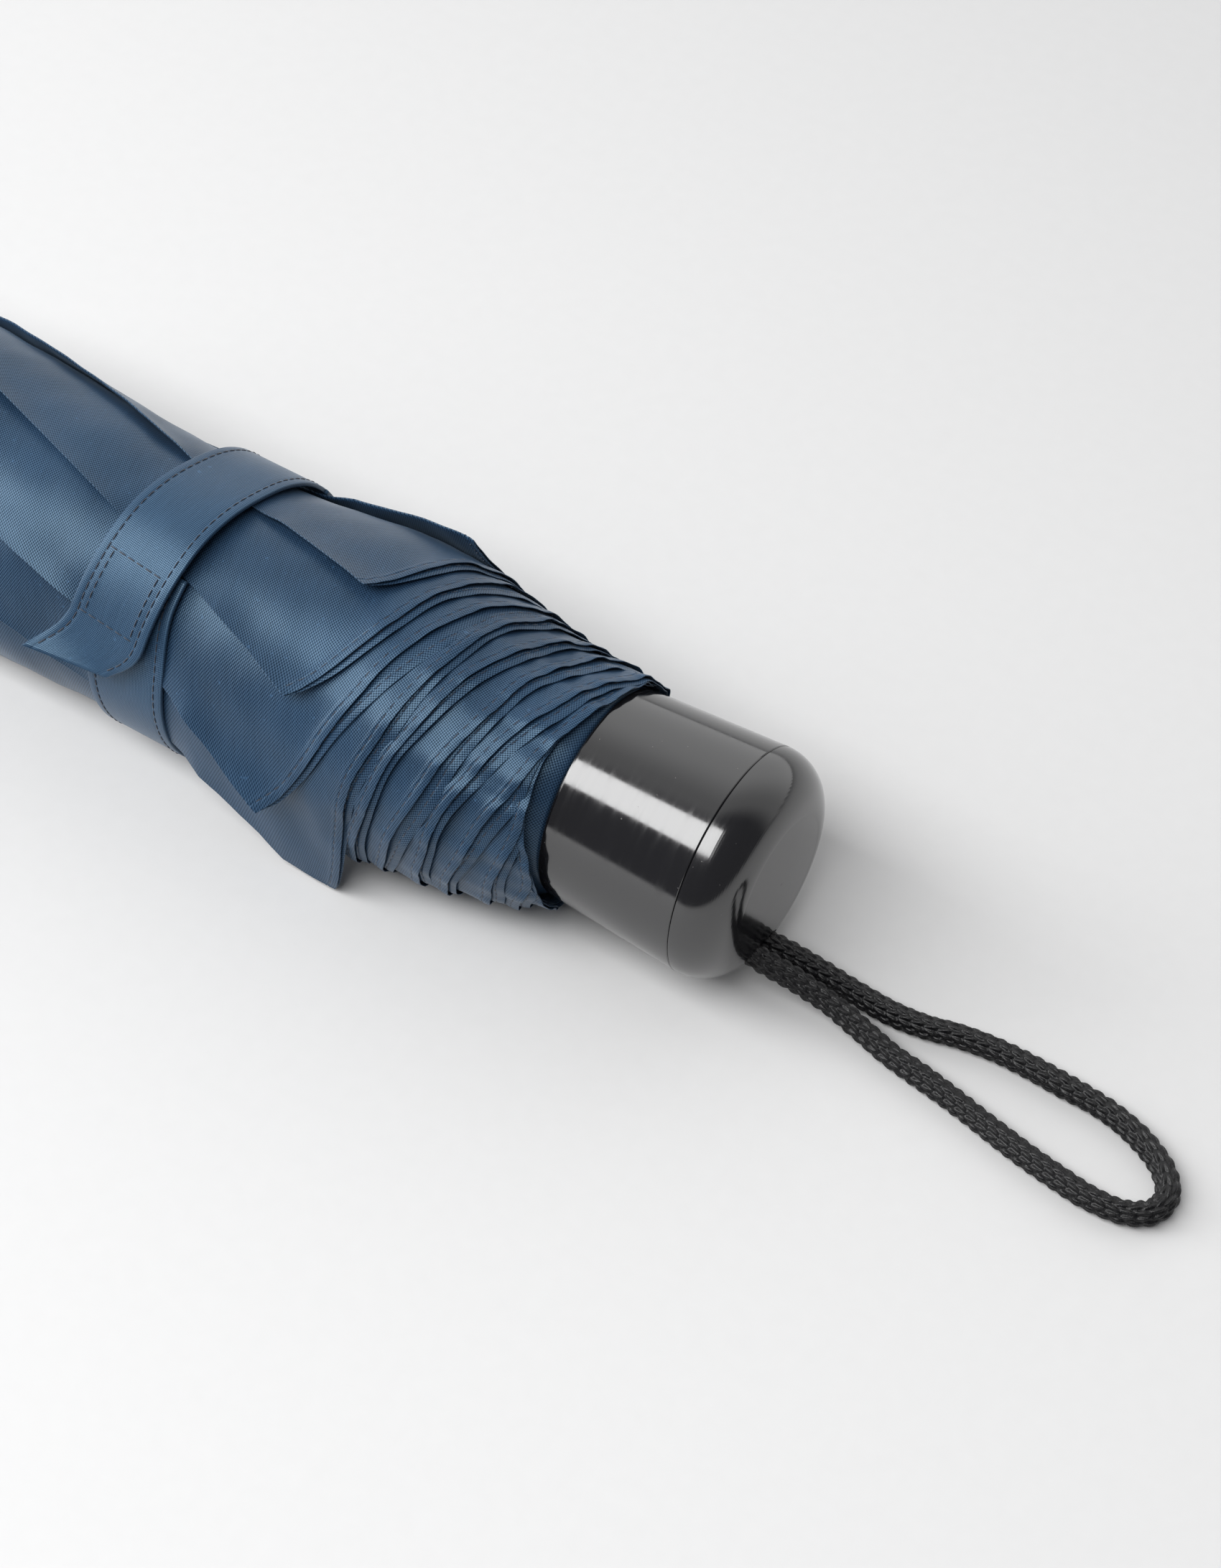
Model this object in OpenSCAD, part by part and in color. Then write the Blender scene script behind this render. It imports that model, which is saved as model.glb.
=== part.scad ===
// Compact telescopic umbrella, rolled up and strapped, lying on its side.
// The shaft lies along X, with the crown at -X and the handle at +X.
// Z = 0 is the surface that it rests on, and the origin is under the middle of its closed length.

/* [Overall] */
// Closed length, from the top cap to the end of the handle
closed_len = 240; // [232:1:244]
// Height of the shaft above the resting surface
shaft_z = 21.5; // [21:0.1:22]
// Outer radius of the rolled canopy under the strap
roll_r = 24.2; // [24:0.1:24.6]
// Extra radius of the roll where it swells beside the strap
roll_swell = 2.1; // [1:0.1:2.5]

/* [Handle] */
// Length of the handle, from its rim to its end
handle_len = 33.7; // [33:0.1:35]
// Outer radius at the rim
rim_r = 18.25; // [18.1:0.05:18.6]
// Outer radius at the seam of the end cap
seam_r = 19.75; // [19.5:0.05:20]
// Inner radius of the cup that takes the rib tips
cup_r = 16.9; // [16.9:0.05:17]
// Length of the end cap beyond the seam
end_cap_len = 8.7; // [8.5:0.1:9]
// Rounding of the end cap's edge
end_cap_round = 8.1; // [7.5:0.1:8.1]
// How far the end face is domed
end_dome = 0.4; // [0.2:0.1:0.6]

/* [Shaft] */
// Outer radius of the upper tube
upper_r = 5; // [5:0.05:5.1]
// Wall of every tube
tube_wall = 0.4; // [0.35:0.05:0.4]
// Gap between one tube and the next, on the radius
tube_gap = 0.1; // [0.05:0.05:0.1]

/* [Ribs] */
// Number of ribs
rib_count = 8; // [8:1:8]
// Width of an inner rib across its channel
rib_w = 2.9; // [2.7:0.1:2.9]
// Radius of an outer rib's rod
rod_r = 0.9; // [0.7:0.1:0.9]
// Radius of the rivets that join the ribs
rivet_r = 0.45; // [0.35:0.05:0.45]

/* [Strap] */
// Width of the strap
strap_w = 15; // [14:0.5:17]
// Thickness of the strap's doubled cloth
strap_t = 0.8; // [0.6:0.1:0.8]
// Middle of the strap along the shaft
strap_x = 8; // [6:0.5:9]
// How far the free end stands out sideways beyond its stitched box
tab_end_len = 7; // [5:0.5:9]

/* [Wrist cord] */
// Diameter of the cord
cord_d = 4.2; // [4:0.1:4.2]

/* [Hidden] */
$fn = 64;

// Places along the shaft
end_x = closed_len / 2;
crown_x = -closed_len / 2;
rim_x = end_x - handle_len;
seam_x = end_x - end_cap_len;
cap_base_x = crown_x + 9.4;
cloth_x = crown_x + 10;
notch_x0 = crown_x + 10.8;
notch_x1 = crown_x + 16.4;
notch_pivot_x = crown_x + 13.5;
runner_x0 = rim_x - 26;
runner_x1 = rim_x - 2.5;
runner_pivot_x = runner_x0 + 5.5;

// The three tubes, nested in each other
upper_bore = upper_r - tube_wall;
middle_r = upper_bore - tube_gap;
middle_bore = middle_r - tube_wall;
lower_r = middle_bore - tube_gap;
lower_bore = lower_r - tube_wall;
upper_x0 = notch_x0;
upper_x1 = rim_x + 3.7;
middle_x0 = crown_x + 20;
middle_x1 = upper_x1 + 2;
lower_x0 = crown_x + 40;
lower_x1 = seam_x - 1.3;
middle_travel = 160;
lower_travel = 150;
button_hole_r = 1.3;
middle_button_x = middle_x0 + 9;
lower_button_x = lower_x0 + 10;

// The folded ribs: each layer's inner and outer distance from the shaft's axis
stretcher_lo = 6.5;
stretcher_hi = 8.1;
inner_lo = 8.5;
inner_hi = 10.1;
middle_lo = 10.5;
middle_hi = 12.1;
rod_axis = 13.2;
slim_w = 1.6;
ear_t = 0.5;
eye_w = 1.4;
rivet_gap = 0.05;
wire_r = 0.45;
wire_ring_r = 7.1;
stretcher_joint_x = notch_pivot_x + 73;
inner_joint_x = runner_x0 - 3.5;
outer_joint_x = crown_x + 18;
stretcher_rivet = 7.3;
inner_rivet = 11.3;
tip_x0 = rim_x + 1.5;
tip_x1 = rim_x + 10.5;
tip_r = 1.45;

// The roll, its wrapping strap and the free end of the strap
cavity_r = 15.2;
hem_r = 16.5;
hem_x = rim_x + 10.5;
strap_gap = 0.2;
strap_in_r = roll_r + strap_gap;
strap_out_r = strap_in_r + strap_t;
patch_t = 0.5;
soft_gap = 0.3;
hook_in_r = strap_out_r + patch_t + soft_gap;
tab_in_r = hook_in_r + patch_t;
tab_out_r = tab_in_r + strap_t;
tab_start = 28;
tab_stop = 62;
tab_drop = 4.6;

// The catch button on the runner
button_size = [6, 4, 4];
button_lo = 7.4;
button_travel = 1.2;
button_spring_lo = 6;
button_spring_hi = 8.6;
button_x = runner_x1 - 6.5;
runner_r = 10;

// The wrist cord leaves the end cap, lies on the surface in one loop and comes back in.
cord_hole = [119.3, -3.75, 7.95];
cord_hole_drop = 15.5;
cord_hole_tilt = -17.4;
strand_pitch = 4.5;
cord_sides = 10;
knot_r = 4;
knot_at = [109.6, -3.7, 10.7];
cord_route = [
    [111, -1.9, 9.6], [119.3, -1.6, 7.3], [124, -0.8, 5.8], [129, -0.2, 4.3], [134.5, 0.2, 2.9],
    [141, 0.3, 2.2], [147, 1, 2.2], [152, 2.3, 2.2], [158, 3.2, 2.2], [164, 3.4, 2.2],
    [170, 3.2, 2.2], [176, 3, 2.2], [181, 2.2, 2.2], [186, 0.5, 2.2], [190.4, -2.2, 2.2],
    [192.9, -5.8, 2.2], [192.3, -9.5, 2.2], [188.6, -12, 2.2], [183, -12.6, 2.2], [177.5, -12.1, 2.2],
    [171.5, -11.3, 2.2], [165, -10.1, 2.2], [158, -8.7, 2.2], [151.5, -7.6, 2.2], [145, -6.7, 2.3],
    [139, -5.4, 2.8], [133, -4.6, 4.1], [127, -4.8, 5.9], [119.3, -5.9, 8.6], [111, -5.6, 10.6]];

// Colours
navy = [0.10, 0.17, 0.28];
navy_dark = [0.06, 0.10, 0.18];
black_gloss = [0.06, 0.06, 0.07];
black_cord = [0.03, 0.03, 0.035];
steel = [0.72, 0.73, 0.75];
steel_dark = [0.30, 0.31, 0.33];
black_plastic = [0.10, 0.10, 0.11];

// A solid of revolution about the shaft. The outline's points are [along the shaft, radius].
module turned(outline) {
    translate([0, 0, shaft_z])
        rotate([90, 0, 90])
            rotate_extrude()
                polygon([for (p = outline) [p[1], p[0]]]);
}

// A tube or rod on the shaft's axis
module along_shaft(x0, x1, outer, inner) {
    translate([x0, 0, shaft_z])
        rotate([0, 90, 0])
            difference() {
                cylinder(h = x1 - x0, r = outer);
                if (inner > 0)
                    translate([0, 0, -1])
                        cylinder(h = x1 - x0 + 2, r = inner);
            }
}

// A ring of round wire about the shaft
module wire_ring(x, ring_r, r) {
    translate([x, 0, shaft_z])
        rotate([0, 90, 0])
            rotate_extrude()
                translate([ring_r, 0])
                    circle(r);
}

// Puts its children at rib i: their own Z is the distance from the shaft, their own Y runs round it.
module at_rib(i) {
    translate([0, 0, shaft_z])
        rotate([(i - 0.5) * 360 / rib_count, 0, 0])
            children();
}

// A bar on the far side of the axis, from x0 to x1 and from lo to hi, w wide
module bar(x0, x1, lo, hi, w) {
    translate([x0, -w / 2, lo])
        cube([x1 - x0, w, hi - lo]);
}

// A crosswise pin or hole at a distance from the shaft
module cross_pin(x, distance, r, len) {
    translate([x, len / 2, distance])
        rotate([90, 0, 0])
            cylinder(h = len, r = r);
}

// Part of a band round the roll, from one angle to another, measured from the top towards -Y
module arc_band(x, w, inner, outer, start, stop) {
    translate([x + w / 2, 0, shaft_z])
        rotate([0, -90, 0])
            rotate([0, 0, -stop])
                rotate_extrude(angle = stop - start)
                    translate([inner, 0])
                        square([outer - inner, w]);
}

// Handle: a flared cup with a rounded rim, open towards the roll
module handle_grip() {
    lip = 0.6;
    color(black_gloss)
        turned(concat(
            [for (a = [180 : 30 : 270]) [rim_x + lip + lip * cos(a), cup_r + lip + lip * sin(a)]],
            [[seam_x, cup_r], [seam_x, seam_r - 0.15], [seam_x - 0.15, seam_r]],
            [for (a = [90 : 30 : 180]) [rim_x + lip + lip * cos(a), rim_r - lip + lip * sin(a)]]));
}

// Rounded outside of the end cap, from the seam to the domed end face
function cap_outline(inset, first) = concat(
    [for (a = [first : 2.5 : 90]) [end_x - end_dome - end_cap_round + (end_cap_round - inset) * sin(a),
        seam_r - end_cap_round + (end_cap_round - inset) * cos(a)]],
    [for (k = [11 : -1 : 0]) [end_x - inset - end_dome * pow(k / 12, 2), (seam_r - end_cap_round) * k / 12]]);

module cord_slot() {
    translate(cord_hole)
        rotate([0, 90 + cord_hole_drop, 0])
            rotate([0, 0, cord_hole_tilt])
                linear_extrude(height = 14, center = true)
                    for (side = [-1, 1]) {
                        translate([0, side * strand_pitch / 2])
                            circle(cord_d / 2 + 0.2);
                        translate([-cord_d / 2 - 0.2, min(0, side * strand_pitch / 2)])
                            square([cord_d + 0.4, strand_pitch / 2]);
                    }
}

module handle_end_cap() {
    wall = 1.8;
    spigot = 3.8;
    color(black_gloss)
        difference() {
            turned(concat(
                [[seam_x - spigot, 0], [seam_x - spigot, cup_r - 0.1], [seam_x + 0.1, cup_r - 0.1],
                [seam_x + 0.1, seam_r - 0.1]], cap_outline(0, 0)));
            turned(concat([[seam_x - spigot - 1, 0], [seam_x - spigot - 1, cup_r - 1.1]],
                cap_outline(wall, 50)));
            cord_slot();
        }
}

// Disc and boss inside the handle, which hold the end of the lower tube
module handle_core() {
    disc_x = rim_x + 13.2;
    color(black_plastic)
        difference() {
            union() {
                along_shaft(disc_x, disc_x + 3.5, cup_r - 0.1, 0);
                along_shaft(disc_x - 3, seam_x - 0.3, 6, 0);
            }
            along_shaft(disc_x - 4, seam_x + 1, lower_r + 0.02, 0);
            translate([rim_x + 20.7, 0, shaft_z])
                rotate([90, 0, 0])
                    cylinder(h = 14, r = 1.02, center = true);
        }
}

module core_pin() {
    color(steel)
        translate([rim_x + 20.7, 0, shaft_z])
            rotate([90, 0, 0])
                cylinder(h = 11.6, r = 1, center = true);
}

module cord_knot() {
    color(black_cord)
        translate(knot_at)
            sphere(knot_r);
}

// A tube swept along a route: one ring of points at each route point
function unit(v) = v / norm(v);
function heading(route, i) =
    unit(route[min(i + 1, len(route) - 1)] - route[max(i - 1, 0)]);
function ring_points(route, i, r, sides) =
    let (along = heading(route, i), side = unit(cross([0, 0, 1], along)), lift = cross(along, side))
    [for (k = [0 : sides - 1]) route[i] + r * (cos(360 * k / sides) * side + sin(360 * k / sides) * lift)];

module swept_tube(route, r, sides) {
    rings = len(route);
    points = [for (i = [0 : rings - 1]) each ring_points(route, i, r, sides)];
    walls = [for (i = [0 : rings - 2]) for (k = [0 : sides - 1])
        [i * sides + k, (i + 1) * sides + k, (i + 1) * sides + (k + 1) % sides, i * sides + (k + 1) % sides]];
    start_face = [for (k = [0 : sides - 1]) k];
    end_face = [for (k = [sides - 1 : -1 : 0]) (rings - 1) * sides + k];
    polyhedron(points = points, faces = concat(walls, [start_face], [end_face]), convexity = 6);
}

module wrist_cord() {
    color(black_cord)
        swept_tube(cord_route, cord_d / 2, cord_sides);
}

// Lowest tube of the shaft, fixed in the handle
module lower_tube() {
    color(steel)
        difference() {
            along_shaft(lower_x0, lower_x1, lower_r, lower_bore);
            translate([lower_button_x, 0, shaft_z - 6])
                cylinder(h = 6, r = button_hole_r);
            translate([rim_x + 20.7, 0, shaft_z])
                rotate([90, 0, 0])
                    cylinder(h = 14, r = 1.02, center = true);
        }
}

module middle_tube() {
    color(steel)
        difference() {
            along_shaft(middle_x0, middle_x1, middle_r, middle_bore);
            translate([middle_button_x, 0, shaft_z - 6])
                cylinder(h = 6, r = button_hole_r);
            translate([lower_button_x + lower_travel, 0, shaft_z - 6])
                cylinder(h = 6, r = button_hole_r);
        }
}

module upper_tube() {
    color(steel)
        difference() {
            along_shaft(upper_x0, upper_x1, upper_r, upper_bore);
            translate([middle_button_x + middle_travel, 0, shaft_z - 6])
                cylinder(h = 6, r = button_hole_r);
        }
}

// Leaf spring with a round button, which springs out at full extension
module lock_spring(x, outer_bore) {
    leaf = [14, 2.2, 0.4];
    button_r = button_hole_r - 0.1;
    reach = sqrt(pow(outer_bore - 0.05, 2) - pow(button_r, 2));
    translate([x, 0, shaft_z]) {
        translate([-leaf[0] / 2, -leaf[1] / 2, -reach + 1.2])
            cube(leaf);
        translate([0, 0, -reach])
            cylinder(h = 1.3, r = button_r);
        translate([-leaf[0] / 2, -leaf[1] / 2, -reach + 1.2])
            cube([leaf[2], leaf[1], reach]);
    }
}

module lower_lock_spring() {
    color(steel_dark)
        lock_spring(lower_button_x, middle_bore);
}

module middle_lock_spring() {
    color(steel_dark)
        lock_spring(middle_button_x, upper_bore);
}

// Slotted disc with a wire ring: the ribs hang on the ring in the slots
module slotted_hub(x0, x1, pivot_x, r, bore) {
    slot_w = eye_w + 0.5;
    difference() {
        along_shaft(x0, x1, r, bore);
        for (i = [1 : rib_count])
            at_rib(i)
                bar(x0 - 1, x1 + 1, 5.9, r + 1, slot_w);
        wire_ring(pivot_x, wire_ring_r, wire_r + 0.1);
    }
}

module top_notch() {
    color(black_plastic)
        slotted_hub(notch_x0, notch_x1, notch_pivot_x, stretcher_hi + 0.1, upper_r + 0.02);
}

module notch_wire() {
    color(steel)
        wire_ring(notch_pivot_x, wire_ring_r, wire_r);
}

module runner_wire() {
    color(steel)
        wire_ring(runner_pivot_x, wire_ring_r, wire_r);
}

// Runner: a slotted hub and a collar that carries the catch button
module runner() {
    hub_len = 10;
    pocket = [button_size[0] + 0.6, button_size[1] + 0.6, 10];
    color(black_plastic) {
        slotted_hub(runner_x0, runner_x0 + hub_len, runner_pivot_x, stretcher_hi + 0.1, upper_r + 0.06);
        difference() {
            along_shaft(runner_x0 + hub_len, runner_x1, runner_r, upper_r + 0.06);
            translate([button_x - pocket[0] / 2, -pocket[1] / 2, shaft_z + button_spring_lo])
                cube(pocket);
        }
    }
}

module runner_button() {
    color(steel_dark)
        translate([button_x, 0, shaft_z + button_lo])
            difference() {
                translate([-button_size[0] / 2, -button_size[1] / 2, 0])
                    cube(button_size);
                translate([0, 0, -1])
                    cylinder(h = button_spring_hi - button_lo + 1, r = 1.5);
            }
}

module button_spring() {
    color(steel)
        translate([button_x, 0, shaft_z + button_spring_lo])
            difference() {
                cylinder(h = button_spring_hi - button_spring_lo, r = 1.3);
                translate([0, 0, -1])
                    cylinder(h = 6, r = 0.9);
            }
}

// Domed cap on the crown
module top_cap() {
    cap_r = 12.5;
    dome = cap_base_x - crown_x;
    edge = 2.4;
    color(black_gloss)
        difference() {
            turned(concat(
                [[cap_base_x, 0], [cap_base_x, cap_r - 0.4], [cap_base_x - 0.4, cap_r], [cap_base_x - edge, cap_r]],
                [for (a = [10 : 4 : 90]) [cap_base_x - edge - (dome - edge) * sin(a), cap_r * cos(a)]]));
            along_shaft(crown_x + 4, cap_base_x + 1, upper_bore - 0.05, 0);
        }
}

// Stud that joins the cap, the notch and the upper tube
module cap_plug() {
    color(black_plastic)
        along_shaft(crown_x + 4.1, crown_x + 16, upper_bore - 0.1, 0);
}

// Washer of cloth between the cap and the crown of the canopy
module crown_patch() {
    color(navy_dark)
        along_shaft(cap_base_x + 0.1, cloth_x - 0.1, cup_r * 0.6, upper_r + 0.2);
}

// Inner rib: an open channel, with an eye on the notch's wire and ears for the next pieces
module inner_rib(i) {
    ear_lo = 6.6;
    ear_hi = 11.9;
    color(steel)
        at_rib(i)
            difference() {
                union() {
                    bar(notch_pivot_x - 1.5, inner_joint_x + 2, inner_lo, inner_hi, rib_w);
                    bar(notch_pivot_x - 1.2, notch_pivot_x + 1.2, 6.1, inner_lo + 0.2, eye_w);
                    bar(stretcher_joint_x - 2, stretcher_joint_x + 2, ear_lo, inner_lo + 0.2, rib_w);
                    bar(inner_joint_x - 2, inner_joint_x + 2, inner_hi - 0.2, ear_hi, rib_w);
                }
                bar(notch_pivot_x + 4, inner_joint_x - 6, inner_lo + ear_t, inner_hi + 1, rib_w - 2 * ear_t);
                bar(stretcher_joint_x - 3, stretcher_joint_x + 3, ear_lo - 1, inner_lo, slim_w + 0.3);
                bar(inner_joint_x - 3, inner_joint_x + 3, inner_hi, ear_hi + 1, slim_w + 0.3);
                cross_pin(notch_pivot_x, wire_ring_r, wire_r + 0.15, 4);
                cross_pin(stretcher_joint_x, stretcher_rivet, rivet_r + rivet_gap, 6);
                cross_pin(inner_joint_x, inner_rivet, rivet_r + rivet_gap, 6);
            }
}

// Stretcher: a slim strip from the runner's wire to the inner rib
module stretcher(i) {
    color(steel)
        at_rib(i)
            difference() {
                union() {
                    bar(stretcher_joint_x - 1.5, runner_x0 - 1, stretcher_lo, stretcher_hi, slim_w);
                    bar(runner_x0 - 2, runner_pivot_x + 1.2, 6.1, stretcher_hi, eye_w);
                }
                cross_pin(stretcher_joint_x, stretcher_rivet, rivet_r + rivet_gap, 6);
                cross_pin(runner_pivot_x, wire_ring_r, wire_r + 0.15, 4);
            }
}

// Middle rib: a slim strip with a forked end for the outer rib
module middle_rib(i) {
    fork_hi = 13.9;
    color(steel)
        at_rib(i)
            difference() {
                union() {
                    bar(outer_joint_x - 1.5, inner_joint_x + 1.5, middle_lo, middle_hi, slim_w);
                    bar(outer_joint_x - 1.5, outer_joint_x + 4, middle_lo, fork_hi, rib_w);
                }
                bar(outer_joint_x - 3, outer_joint_x + 5, middle_hi - 0.2, fork_hi + 1, slim_w + 0.3);
                cross_pin(outer_joint_x, rod_axis, rivet_r + rivet_gap, 6);
                cross_pin(inner_joint_x, inner_rivet, rivet_r + rivet_gap, 6);
            }
}

// Outer rib: a round rod with a flat eye at the fold and a tip at the hem
module outer_rib(i) {
    color(steel_dark)
        at_rib(i)
            difference() {
                union() {
                    translate([outer_joint_x + 0.6, 0, rod_axis])
                        rotate([0, 90, 0])
                            cylinder(h = tip_x1 - 3 - outer_joint_x - 0.6, r = rod_r);
                    cross_pin(outer_joint_x, rod_axis, 1.1, eye_w);
                }
                cross_pin(outer_joint_x, rod_axis, rivet_r + rivet_gap, 6);
            }
}

// One rivet with its two heads, across a rib
module rivet(x, distance) {
    head_t = 0.3;
    grip = rib_w + 0.1;
    cross_pin(x, distance, rivet_r, grip + 2 * head_t);
    for (side = [-1, 1])
        translate([x, side * (grip + head_t) / 2 + head_t / 2, distance])
            rotate([90, 0, 0])
                cylinder(h = head_t, r = rivet_r + 0.4);
}

module rib_rivets() {
    color(steel)
        for (i = [1 : rib_count])
            at_rib(i) {
                rivet(stretcher_joint_x, stretcher_rivet);
                rivet(inner_joint_x, inner_rivet);
                rivet(outer_joint_x, rod_axis);
            }
}

// Plastic tips on the outer ribs, to which the hem is sewn
module rib_tips() {
    color(black_plastic)
        for (i = [1 : rib_count])
            at_rib(i)
                translate([0, 0, rod_axis])
                    rotate([0, 90, 0])
                        difference() {
                            union() {
                                translate([0, 0, tip_x0])
                                    cylinder(h = tip_x1 - tip_r - tip_x0, r = tip_r);
                                translate([0, 0, tip_x1 - tip_r])
                                    sphere(tip_r);
                            }
                            translate([0, 0, tip_x0 - 1])
                                cylinder(h = tip_x1 - 2.9 - tip_x0 + 1, r = rod_r + 0.05);
                        }
}

// Rolled canopy: a thick shell of wound cloth, flattened where it lies, with its hem in the cup
module canopy_roll() {
    swell_r = roll_r + roll_swell;
    groove = strap_w / 2 + 0.5;
    outside = [
        [cloth_x, 12], [crown_x + 11.5, 15], [crown_x + 15, 19], [crown_x + 21, 22.4],
        [crown_x + 32, roll_r + 0.5], [crown_x + 60, roll_r + 1.3], [crown_x + 90, roll_r + 1.2],
        [strap_x - 14, roll_r + 0.2], [strap_x - groove, roll_r], [strap_x + groove, roll_r],
        [strap_x + 20, roll_r + 0.9], [rim_x - 46, swell_r], [rim_x - 34, swell_r],
        [rim_x - 24, roll_r + 0.7], [rim_x - 12, 21.7], [rim_x - 1.5, 17.6], [rim_x, hem_r], [hem_x, hem_r]];
    inside = [
        [hem_x, cavity_r], [crown_x + 17, cavity_r], [crown_x + 14, 13.4],
        [cloth_x + 0.6, 10.8], [cloth_x + 0.6, upper_r + 0.4], [cloth_x, upper_r + 0.4]];
    color(navy)
        difference() {
            turned(concat(outside, inside));
            translate([crown_x - 10, -50, -50])
                cube([closed_len + 20, 100, 50]);
            translate([strap_x - groove, -50, -50])
                cube([2 * groove, 100, 50 + strap_t + 0.1]);
        }
}

// Strap round the roll, flattened underneath
module strap_band() {
    color(navy)
        difference() {
            along_shaft(strap_x - strap_w / 2, strap_x + strap_w / 2, strap_out_r, 0);
            translate([strap_x - 20, -40, -50])
                cube([40, 80, 50]);
            difference() {
                along_shaft(strap_x - 20, strap_x + 20, strap_in_r, 0);
                translate([strap_x - 30, -40, -50])
                    cube([60, 80, 50 + strap_t]);
            }
        }
}

module strap_loop_patch() {
    color(navy_dark)
        arc_band(strap_x, strap_w - 3, strap_out_r + 0.02, strap_out_r + patch_t, tab_start + 8, tab_stop - 2);
}

// Free end of the strap: it lies over the band and its last part stands out
function round_roll(a, r) = [-r * sin(a), shaft_z + r * cos(a)];

module strap_tab() {
    step = 2;
    bend_out = round_roll(tab_stop, tab_out_r);
    tip_y = bend_out[0] - tab_end_len;
    tip_z = bend_out[1] - tab_drop;
    tip = [tip_y, tip_z];
    fall = (tip - bend_out) / norm(tip - bend_out);
    under_tip = tip + strap_t * [-fall[1], fall[0]];
    color(navy)
        translate([strap_x - strap_w / 2, 0, 0])
            rotate([90, 0, 90])
                linear_extrude(height = strap_w)
                    polygon(concat(
                        [for (a = [tab_start : step : tab_stop]) round_roll(a, tab_out_r)],
                        [tip, under_tip],
                        [for (a = [tab_stop : -step : tab_start]) round_roll(a, tab_in_r)]));
}

module strap_hook_patch() {
    color(navy_dark)
        arc_band(strap_x, strap_w - 3, hook_in_r, tab_in_r - 0.02, tab_start + 8, tab_stop - 4);
}

handle_grip();
handle_end_cap();
handle_core();
core_pin();
cord_knot();
wrist_cord();
lower_tube();
lower_lock_spring();
middle_tube();
middle_lock_spring();
upper_tube();
top_notch();
notch_wire();
top_cap();
cap_plug();
crown_patch();
runner();
runner_wire();
runner_button();
button_spring();
for (i = [1 : rib_count]) {
    inner_rib(i);
    stretcher(i);
    middle_rib(i);
    outer_rib(i);
}
rib_rivets();
rib_tips();
canopy_roll();
strap_band();
strap_loop_patch();
strap_tab();
strap_hook_patch();
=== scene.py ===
"""Compact telescopic umbrella, rolled and strapped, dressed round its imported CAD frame.

Lengths are millimetres until a mesh is made. A place on the roll is given as t, the distance
from the handle's rim towards the crown, a, the angle from the top towards -Y in degrees, and r.
"""
import math

import bpy
import numpy as np
from mathutils import Matrix, Vector


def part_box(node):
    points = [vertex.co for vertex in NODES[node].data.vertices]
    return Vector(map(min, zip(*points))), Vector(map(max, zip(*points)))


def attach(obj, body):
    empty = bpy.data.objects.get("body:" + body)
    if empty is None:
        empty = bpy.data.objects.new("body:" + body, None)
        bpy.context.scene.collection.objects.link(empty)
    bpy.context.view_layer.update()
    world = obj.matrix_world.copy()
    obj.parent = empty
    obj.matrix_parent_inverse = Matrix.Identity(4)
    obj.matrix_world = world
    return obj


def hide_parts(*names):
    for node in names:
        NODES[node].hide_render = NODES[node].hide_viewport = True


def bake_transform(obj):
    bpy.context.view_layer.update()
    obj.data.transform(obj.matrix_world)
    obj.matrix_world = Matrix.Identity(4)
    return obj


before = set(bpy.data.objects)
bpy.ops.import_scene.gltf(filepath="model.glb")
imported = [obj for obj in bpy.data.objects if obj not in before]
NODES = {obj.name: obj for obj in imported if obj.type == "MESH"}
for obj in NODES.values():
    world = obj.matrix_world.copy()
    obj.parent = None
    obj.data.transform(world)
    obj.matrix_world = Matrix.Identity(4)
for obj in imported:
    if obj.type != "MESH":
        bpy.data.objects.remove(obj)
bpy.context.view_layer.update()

MM = 0.001
pi, tau = math.pi, 2 * math.pi


def box_mm(node):
    """Lowest and highest corner of a CAD node, in millimetres."""
    low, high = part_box(node)
    return np.array(low) / MM, np.array(high) / MM


# ---------------------------------------------------------------- places from the frame
GRIP_LOW, GRIP_HIGH = box_mm("handle_grip")
RIM_X = GRIP_LOW[0]
SHAFT_Z = (GRIP_LOW[2] + GRIP_HIGH[2]) / 2
RIM_R = 18.25
ROLL_END = RIM_X - box_mm("top_cap")[1][0]
STRAP_LOW, STRAP_HIGH = box_mm("strap_band")
STRAP_T = RIM_X - (STRAP_LOW[0] + STRAP_HIGH[0]) / 2
STRAP_W = STRAP_HIGH[0] - STRAP_LOW[0]
STRAP_MIDDLE = (STRAP_LOW[0] + STRAP_HIGH[0]) / 2
TAB_LOW = box_mm("strap_tab")[0]


# ---------------------------------------------------------------- small number helpers
def smooth_step(x, lo, hi):
    w = np.clip((np.asarray(x, float) - lo) / (hi - lo), 0, 1)
    return w * w * (3 - 2 * w)


def bell(x, centre, width):
    return np.exp(-((np.asarray(x, float) - centre) / width) ** 2)


def angle_gap(a, b):
    """Signed angle from b to a, between -180 and 180 degrees."""
    return (np.asarray(a, float) - b + 180) % 360 - 180


def waves(u, v, seed, count=5, size=20.0):
    """A smooth wandering height of about unit size, with waves about size long."""
    rng = np.random.default_rng(seed)
    total = 0.0
    for _ in range(count):
        way = rng.uniform(0, tau)
        length = size * rng.uniform(0.6, 1.6)
        phase = rng.uniform(0, tau)
        total = total + np.sin(tau * (u * math.cos(way) + v * math.sin(way)) / length + phase)
    return total / math.sqrt(count)


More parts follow.
